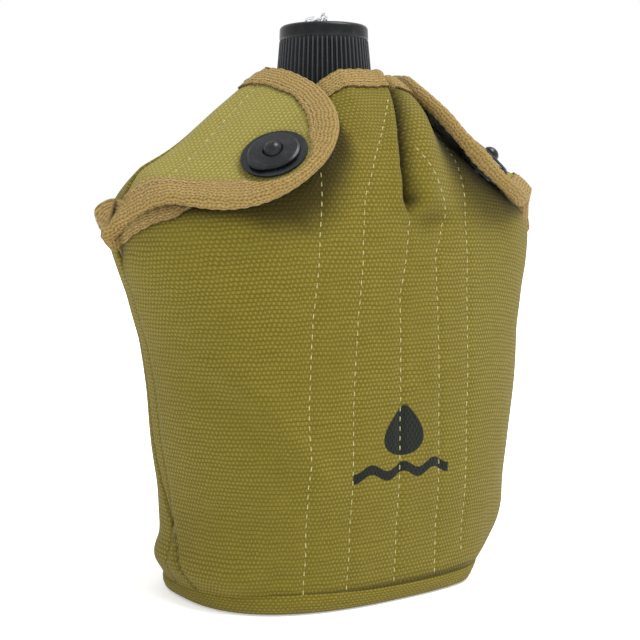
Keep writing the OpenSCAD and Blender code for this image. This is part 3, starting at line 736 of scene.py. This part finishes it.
# the shade that a flap throws, worked out in the flap's own plane
edge_reach = table((0, 8), (2, 26), (5, 38), (10, 44), (20, 48.5), (29, 50.5), (40, 49), (50, 42), (58, 32),
                   (66, 19), (72, 9), (78, 1))
from_fold = stack(np.abs(x), front[..., 1], z) - FOLD_START
along, reach = from_fold @ FOLD_DIR, from_fold @ ACROSS
shade = 0.88 - 0.38 * ramp(x, 0, 20)
under_flap = ramp(reach - edge_reach(along), 9, 0) * ramp(along, -6, 2) * ramp(along, 86, 76)
dark = np.maximum(dark, shade * under_flap)
front_cloth[..., 2] = 1 - np.clip(dark, 0, 1)
piece = shell("front_panel", *sheet_offsets(front, front_n, 0, -CANVAS_T), front_cloth, True, MARKED)
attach(piece, "canteen")
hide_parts("cover_front")
smooth = plain + (np.minimum(relief, 0) - 0.3)[..., None] * plain_n
piece = shell("front_lining", *sheet_offsets(smooth[::2, ::2], plain_n[::2, ::2], FELT_TOP, UNDER),
              front_cloth[::2, ::2], True, FELT)
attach(piece, "canteen")
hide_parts("lining_front")


def row_on(grid, normals, line, low, high):
    """The line x = line(z) drawn on a panel, from height low to high."""
    path, out = [], []
    columns = np.arange(grid.shape[0])
    for j in range(grid.shape[1]):
        here = float(np.mean(grid[:, j, 2]))
        for _ in range(4):
            column = np.interp(float(line(here)), grid[::-1, j, 0], columns[::-1])
            here = float(np.interp(column, columns, grid[:, j, 2]))
        if low <= here <= high:
            k = int(min(max(column, 0), grid.shape[0] - 2))
            t = column - k
            path.append((1 - t) * grid[k, j] + t * grid[k + 1, j])
            out.append((1 - t) * normals[k, j] + t * normals[k + 1, j])
    return np.array(path), np.array(out)


front_rows = [row_on(front, front_n, line_1, 6, 152), row_on(front, front_n, line_2, 6, 172),
              row_on(front, front_n, line_3, 6, 131), row_on(front, front_n, line_4, 6, 157),
              row_on(front, front_n, line_5, 12, 158)]

# the tape along the front panel's top edge
keep = np.linspace(0, COLUMNS, 330)
pick = np.arange(COLUMNS + 1)


def along_edge(values, at):
    return np.stack([np.interp(at, pick, values[:, k]) for k in range(3)], -1)


edge = along_edge(front[:, -1], keep)
inward = unit(along_edge(front[:, -7] - front[:, -1], keep))
out = unit(along_edge(front_n[:, -3], keep))
out = unit(out - np.sum(out * inward, -1, keepdims=True) * inward)
piece = tape("front_tape", edge, inward, out, "canteen", True, seed=4)
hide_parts("front_binding")
stitches("front_stitches", front_rows, "canteen", THREAD)
stitches("front_tape_stitches", [tape_row(edge, inward, out)], "canteen", TAN_THREAD)

# ---------------------------------------------------------------- back panel
back, back_cloth = panel_grid(COLUMNS, ROWS, False)
x, z = back[..., 0], back[..., 2]
side_run = np.minimum(back_cloth[..., 0], back_cloth[-1, 0, 0] - back_cloth[..., 0])
relief = 0.5 * ripple(x, z, 8, 55) * ramp(z, 4, 20) * ramp(side_run, 0, 12)
seam = hump(side_run - seam_behind(z), 0, 0.9) * ramp(z, 125, 119)
relief = relief - 0.6 * hump(z, 20, 7) * ramp(side_run, 4, 16) - 0.9 * seam
relief = relief - 0.8 * hump(x, 0, 20) * hump(z, 150, 9)
relief = relief + side_shape(x, z)
back = back + relief[..., None] * grid_normals(back, False)
back_n = grid_normals(back, False)
# painted shade in the side seam's groove
back_cloth[..., 2] = 1 - 0.7 * hump(side_run - seam_behind(z), 0, 0.7) * ramp(z, 125, 119)
piece = shell("back_panel", *sheet_offsets(back, back_n, 0, -CANVAS_T), back_cloth, False, CANVAS)
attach(piece, "canteen")
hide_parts("cover_back")
piece = shell("back_lining", *sheet_offsets(back[::2, ::2], back_n[::2, ::2], FELT_TOP, UNDER),
              back_cloth[::2, ::2], False, FELT)
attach(piece, "canteen")
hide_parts("lining_back")

inner_columns = np.flatnonzero(np.abs(back[:, -1, 0]) < 28.5)
keep = np.linspace(inner_columns[0], inner_columns[-1], 110)
edge = along_edge(back[:, -1], keep)
inward = unit(along_edge(back[:, -7] - back[:, -1], keep))
out = unit(along_edge(back_n[:, -3], keep))
out = unit(out - np.sum(out * inward, -1, keepdims=True) * inward)
piece = tape("back_tape", edge, inward, out, "canteen", False, seed=6)
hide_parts("back_binding")
stitches("back_stitches", [tape_row(edge, inward, out)], "canteen", TAN_THREAD)


# the tape down each free side edge of the back panel, from the fold's corner to the seam
def corner_tape(side):
    column = 0 if side == "right" else -1
    line, n = back[column], back_n[column]
    part = line[:, 2] > 120.5
    edge = resampled(line[part], 60)
    out = unit(resampled(n[part], 60))
    step = back[3 if side == "right" else -4] - line
    inward = unit(resampled(step[part], 60))
    out = unit(out - np.sum(out * inward, -1, keepdims=True) * inward)
    tape(side + "_corner_tape", edge, inward, out, "canteen", side == "left", seed=9)
    return tape_row(edge, inward, out)


stitches("corner_stitches", [corner_tape(side) for side in SIDES], "canteen", TAN_THREAD)

# ---------------------------------------------------------------- bottom
BASE_SIDES = 180


def base_ring(gap, height):
    """The foot's outline, gap mm inside its widest, at a height that rises a little at the front left."""
    t = np.arange(BASE_SIDES) * 2 * PI / BASE_SIDES
    w, d = 62 - gap, np.where(np.sin(t) > 0, 35.0, 46.5) - gap
    x, y = w * flat_pow(np.cos(t), 2 / 2.6), d * flat_pow(np.sin(t), 2 / 2.6)
    uneven = 0.25 * ripple(x, y, 12, 40) * ramp(height, 0.5, 4)
    return tuck(stack(x, y, height * (1 + 0.35 * hump(x, -42, 26) * ramp(y, 0, -20)) + uneven))


def base_dish(name, steps, material):
    rings = np.stack([base_ring(*step) for step in steps])
    round_run = run_of(base_ring(0, np.full(BASE_SIDES, 3.0)))[None]
    cloth = stack(round_run, run_of(rings[:, 0])[:, None], np.ones(rings.shape[:2]))
    return tube(name, rings, cloth, False, material)


# (gap, height) of the rings round each layer of the bottom, from its middle's top to its middle's underside
foot_skin = [(58, 1.2), (30, 1.2), (6, 1.2), (2.2, 1.5), (1.5, 2.4), (1.3, 4.4), (0.9, 5.3), (0.2, 5.6),
             (-0.5, 5.2), (-0.8, 4.2), (-0.7, 2.6), (-0.1, 1.1), (1.2, 0.25), (3.0, 0.0), (8, 0.0), (20, 0.0),
             (34, 0.0), (58, 0.0)]
foot_felt = [(58, 2.9), (30, 2.9), (6, 2.9), (3.6, 2.7), (3.3, 2.1), (3.6, 1.5), (6, 1.3), (30, 1.3),
             (58, 1.3)]
piece = base_dish("bottom_panel", foot_skin, CANVAS)
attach(piece, "canteen")
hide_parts("cover_bottom")
piece = base_dish("bottom_lining", foot_felt, FELT)
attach(piece, "canteen")
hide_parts("lining_bottom")

# ---------------------------------------------------------------- flaps
SNAP_ALONG, SNAP_REACH = 32.0, 37.0
SNAP_HOLE_R, TAPE_CLEAR_R = 4.4, 12.8
OVER = 4.5
CLOTH_U, CLOTH_V = 300, 40


def cubic(points, t):
    a, b, c, d = (np.array(p, float) for p in points)
    t = np.asarray(t, float)[..., None]
    return (1 - t) ** 3 * a + 3 * t * (1 - t) ** 2 * b + 3 * t * t * (1 - t) * c + t**3 * d


def tip(s):
    """Outline of the tongue in its own plane, from the fold's neck end round to its corner end."""
    s = np.asarray(s, float)
    first = cubic([(1, 1.3), (-6, 20), (3, 52), (29, 52)], np.clip(2 * s, 0, 1))
    second = cubic([(29, 52), (54, 54), (58, 26), (77.5, 1)], np.clip(2 * s - 1, 0, 1))
    return np.where((s < 0.5)[..., None], first, second)


def flap_surface(along, reach, side):
    """Point on the tongue's outer face, rounded over the fold, with the cloth's own swell."""
    reach = np.asarray(reach, float)
    bend = np.maximum(reach - FLAT_REACH, 0) / BEND_R
    flat = np.minimum(reach, FLAT_REACH)
    forth, drop = flat + BEND_R * np.sin(bend), BEND_R * (1 - np.cos(bend))
    down = forth[..., None] * ACROSS - drop[..., None] * OUT
    t = np.clip((reach + OVER) / (2 * OVER), 0, 1)[..., None]
    behind = (1 - t) ** 2 * OVER + np.maximum(-OVER - reach, 0)[..., None]
    rounded = behind * BACK_DIR + t * t * OVER * ACROSS
    point = FOLD_START + along[..., None] * FOLD_DIR + np.where((reach > OVER)[..., None], down, rounded)
    from_snap = np.hypot(along - SNAP_ALONG, reach - SNAP_REACH)
    swell = ramp(from_snap, 10, 24) * ramp(reach, 0, 14) * ramp(reach, 52, 34)
    tall = 1.6 if side == "right" else 0.9
    seed = 21 if side == "left" else 22
    uneven = 0.35 * ripple(along, reach, seed, 38) * ramp(reach, 0, 10) * ramp(from_snap, 11, 20)
    seam = 0.45 * hump(reach, seam_reach(along), 1.3) * ramp(along, 6, 12) * ramp(along, 66, 58)
    lift = tall * swell + uneven - seam
    tilt = np.clip(bend, 0, 1)[..., None]
    normal = unit(OUT * np.cos(tilt) + ACROSS * np.sin(tilt))
    if side == "right":
        lift = lift + 3.4 * hump(np.hypot(along - 58, reach - 18), 0, 12) * ramp(reach, 0, 8)
    point = point + lift[..., None] * normal
    return mirrored(settle(mirrored(point, side)), side)


def flap_frame(along, reach, side):
    """Points on the tongue's outer face, and the outward normals there."""
    point = flap_surface(along, reach, side)
    one = flap_surface(along + 0.6, reach, side) - flap_surface(along - 0.6, reach, side)
    two = flap_surface(along, reach + 0.6, side) - flap_surface(along, reach - 0.6, side)
    normal = unit(np.cross(two, one))
    return point, normal * np.sign(np.sum(normal * OUT, -1, keepdims=True))


seam_reach = table((0, 5), (10, 6), (24, 8), (38, 10.2), (56, 12.7), (77, 14.5))


def mirrored(points, side):
    """Everything on the flaps is worked out for the right one, and mirrored for the left."""
    return points * (np.array([-1, 1, 1]) if side == "left" else 1)


FLAP_COLUMNS, FLAP_ROWS, TAPE_STEPS = 110, 70, 420


def flap_grid(side, short, start, clip):
    s = np.linspace(clip, 1 - clip, FLAP_COLUMNS + 1)
    outline = tip(s)
    step = tip(s + 0.01) - tip(s - 0.01)
    inset = unit(np.stack([step[:, 1], -step[:, 0]], -1))
    edge = outline + short * inset
    first = np.stack([FOLD_LENGTH * s, np.full_like(s, start)], -1)
    t = np.linspace(0, 1, FLAP_ROWS + 1)[None, :, None]
    plan = first[:, None] * (1 - t) + edge[:, None] * t
    grid = flap_surface(plan[..., 0], plan[..., 1], side)
    cloth = stack(plan[..., 0] + CLOTH_U, plan[..., 1] + CLOTH_V, np.ones(plan.shape[:2]))
    return grid, cloth


def off_snap(cloth):
    """Distance of each point of a flap's grid from the middle of its snap, along the cloth."""
    return np.hypot(cloth[..., 0] - CLOTH_U - SNAP_ALONG, cloth[..., 1] - CLOTH_V - SNAP_REACH)


def build_flap(side):
    body, flip = side + "_flap", side == "right"
    fold = mirrored(FOLD_START + 38 * FOLD_DIR, side)
    reach = (fold + np.array([0, 2.5, -1.0])) * MM, (fold + np.array([0, -5.0, -2.0])) * MM
    grid, cloth = flap_grid(side, 0.4, -OVER, 0.015)
    normals = -grid_normals(grid, False)
    # painted shade: a darker ring round the snap's flange, where the flange sits on the cloth
    cloth[..., 2] = 1 - 0.35 * hump(off_snap(cloth), 11, 1.6)
    outer, inner = (mirrored(g, side) for g in sheet_offsets(grid, normals, 0, -CANVAS_T))
    piece = shell(side + "_flap_panel", outer, inner, cloth, not flip, TOP_LIT_CANVAS, off_snap(cloth) < SNAP_HOLE_R)
    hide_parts(side + "_flap")
    tuple(reach[0])
    tuple(reach[1])
    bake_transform(piece)
    grid, cloth = flap_grid(side, 1.2, 2.0, 0.07)
    normals = -grid_normals(grid, False)
    outer, inner = (mirrored(g, side) for g in sheet_offsets(grid, normals, FELT_TOP, UNDER))
    piece = shell(side + "_flap_felt", outer, inner, cloth, not flip, FELT, off_snap(cloth) < SNAP_HOLE_R)
    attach(piece, body)
    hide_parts(side + "_flap_lining")

    over_neck, over_corner = [(3.4, -5.0), (2.1, -1.6)], [(79.6, -0.4), (82.0, -2.0)]
    outline = resampled(np.concatenate([over_neck, tip(np.linspace(0, 1, 400)), over_corner]), TAPE_STEPS)
    for _ in range(6):
        outline[1:-1] = (outline[:-2] + 2 * outline[1:-1] + outline[2:]) / 4
    step = np.gradient(outline, axis=0)
    inset = unit(np.stack([step[:, 1], -step[:, 0]], -1))

    def lay(wide, high):
        plan = outline[:, None] + wide[..., None] * inset[:, None]
        point, normal = flap_frame(plan[..., 0], plan[..., 1], side)
        return mirrored(point + high[..., None] * normal, side)

    edge = lay(np.zeros((TAPE_STEPS, 1)), np.zeros((TAPE_STEPS, 1)))[:, 0]
    leg = outline[:, None] + PROFILE[None, :, :1] * inset[:, None]
    from_snap = np.hypot(leg[..., 0] - SNAP_ALONG, leg[..., 1] - SNAP_REACH)
    sunk = ramp(from_snap, TAPE_CLEAR_R, TAPE_CLEAR_R - 1.2)
    seed = 14 if side == "left" else 15
    piece = tape(side + "_flap_tape", edge, None, None, None, not flip, seed, sunk, lay)
    tuple(reach[0])
    tuple(reach[1])
    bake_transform(piece)
    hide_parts(side + "_flap_binding")
    seam_along = np.linspace(7, 64, 160)
    seam = flap_surface(seam_along, seam_reach(seam_along), side)
    rows = [(mirrored(seam, side), mirrored(np.repeat(OUT[None], 160, 0), side))]
    stitches(side + "_flap_stitches", rows, body, THREAD)
    row_plan = outline + ROW_IN * inset
    row, row_out = flap_frame(row_plan[:, 0], row_plan[:, 1], side)
    row, row_out = mirrored(row + ROW_HIGH * row_out, side), mirrored(row_out, side)
    clear = np.flatnonzero(np.hypot(row_plan[:, 0] - SNAP_ALONG, row_plan[:, 1] - SNAP_REACH) < 13)
    rows = [(row[part], row_out[part]) for part in (slice(12, clear[0]), slice(clear[-1] + 1, -12))]
    stitches(side + "_flap_tape_stitches", rows, body, TAN_THREAD)


for side in SIDES:
    build_flap(side)

# ---------------------------------------------------------------- belt hanger's webbing
HOOK_Y, HOOK_Z = 39.4, 118.0
LOOP_R, STRAP_IN, STRAP_OUT, STRAP_LOW, STRAP_HIGH = 2.38, HOOK_Y - 0.75, HOOK_Y + 0.55, 80.5, 113
PATCH_HALF_W, PATCH_HALF_H, PATCH_Z = 15, 19, 93


def band(name, path, half_w, thick, columns, material):
    """A strap of even thickness along a path of (y, z) points."""
    path = resampled(np.array(path, float), 120)
    along = unit(np.gradient(path, axis=0))
    side_dir = np.stack([along[:, 1], -along[:, 0]], -1)
    across = np.linspace(-half_w, half_w, columns)
    edge = 1 - 0.5 * hump(np.abs(across), half_w, 0.5)
    grids = []
    for sign in (1, -1):
        level = path[:, None] + sign * thick / 2 * edge[None, :, None] * side_dir[:, None]
        grids.append(stack(across[None, :] + 0 * level[..., 0], level[..., 0], level[..., 1]))
    run = run_of(path)
    cloth = stack(across[None, :], run[:, None], 1)
    return shell(name, grids[0], grids[1], cloth, False, material)


turn = np.radians(np.linspace(205, -25, 40))
path = [(STRAP_IN, STRAP_LOW), (STRAP_IN, STRAP_HIGH)]
path += [(HOOK_Y + LOOP_R * math.cos(a), HOOK_Z + LOOP_R * math.sin(a)) for a in turn]
path += [(STRAP_OUT, STRAP_HIGH), (STRAP_OUT, STRAP_LOW)]
piece = band("hanger_webbing", path, 8.5, 1.25, 24, WEBBING)
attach(piece, "canteen")
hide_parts("hanger_loop")

rows, columns = 80, 64
px, pz = np.meshgrid(np.linspace(-PATCH_HALF_W, PATCH_HALF_W, columns),
                     np.linspace(PATCH_Z - PATCH_HALF_H, PATCH_Z + PATCH_HALF_H, rows), indexing="ij")
rim = np.minimum(PATCH_HALF_W - np.abs(px), PATCH_HALF_H - np.abs(pz - PATCH_Z))
puff = 0.35 * ramp(rim, 0, 1.2) - 0.25 * hump(rim, 2.6, 0.7) + 0.12 * ripple(px, pz, 31, 14)
outer = stack(px, HOOK_Y - 2.0 + puff, pz)
inner = stack(px, np.full_like(px, HOOK_Y - 2.9), pz)
piece = shell("hanger_patch_cloth", outer, inner, stack(px, pz, np.ones_like(px)), True, CANVAS)
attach(piece, "canteen")
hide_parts("hanger_patch")


def flat_row(corners, y, count):
    """A row of stitches through (x, z) corners on a face that looks along +y."""
    path = resampled(np.array([(a, y, b) for a, b in corners], float), count)
    return path, np.repeat([[0.0, 1.0, 0.0]], count, 0)


def box_row(half_w, low, high, y):
    return flat_row([(-half_w, low), (half_w, low), (half_w, high), (-half_w, high), (-half_w, low)], y, 200)


strap_y = STRAP_OUT + 0.62
rows = [box_row(12.4, 76.5, 109.5, HOOK_Y - 1.9), box_row(6.6, 82.5, 104, strap_y),
        flat_row([(-6.6, 82.5), (6.6, 104)], strap_y, 60), flat_row([(6.6, 82.5), (-6.6, 104)], strap_y, 60)]
stitches("hanger_stitches", rows, "canteen", THREAD, dash=2.0, gap=0.9)

# ---------------------------------------------------------------- floor, light and camera
bpy.ops.mesh.primitive_plane_add(size=12)
floor = bpy.context.object
floor.name = "floor"
m = Shader("pale floor")
m.set(Base_Color=m.mix(m.noise(m.place(), 3.0), (0.90, 0.90, 0.90), (0.93, 0.93, 0.93)), Roughness=0.9,
      Specular_IOR_Level=0.1, Emission_Color=(1.0, 1.0, 1.0), Emission_Strength=0.35)
floor.data.materials.append(m.material)
floor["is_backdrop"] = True

world = bpy.data.worlds.new("studio")
bpy.context.scene.world = world
world.use_nodes = True
world.node_tree.nodes["Background"].inputs[0].default_value = (1, 1, 1, 1)
world.node_tree.nodes["Background"].inputs[1].default_value = 1.0

light = bpy.data.lights.new("overhead", "SUN")
light.angle, light.energy = math.radians(35), 3.0
lamp = bpy.data.objects.new("overhead", light)
bpy.context.scene.collection.objects.link(lamp)
lamp.rotation_euler = (-Vector((0.30, -0.35, 1.0))).to_track_quat("-Z", "Y").to_euler()

# the camera stands DISTANCE mm from the object's axis at AZIMUTH, and SIDESTEP mm to its right
AZIMUTH, DISTANCE, SIDESTEP, HEIGHT, PITCH, ROLL = -34.0, 468.0, -1.83, 135.35, 0.09, 0.27
a = math.radians(AZIMUTH)
level = np.array([math.cos(a), math.sin(a), 0])
forward = np.array([-math.sin(a) * math.cos(PITCH), math.cos(a) * math.cos(PITCH), -math.sin(PITCH)])
up = np.cross(level, forward)
r = math.radians(ROLL)
right, up = level * math.cos(r) - up * math.sin(r), level * math.sin(r) + up * math.cos(r)
lens = bpy.data.cameras.new("camera")
lens.sensor_width, lens.lens = 36, 72.11
lens.clip_start = 0.02
camera = bpy.data.objects.new("camera", lens)
bpy.context.scene.collection.objects.link(camera)
place = np.array([math.sin(a) * DISTANCE, -math.cos(a) * DISTANCE, HEIGHT]) + level * SIDESTEP
axes = Matrix(np.stack([right, up, -forward], -1).tolist())
camera.matrix_world = Matrix.Translation(place * MM) @ axes.to_4x4()
bpy.context.scene.camera = camera
bpy.context.scene.view_settings.view_transform = "Standard"

[[list(map(float, corner)) for corner in box] for box in (cad_box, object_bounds())]
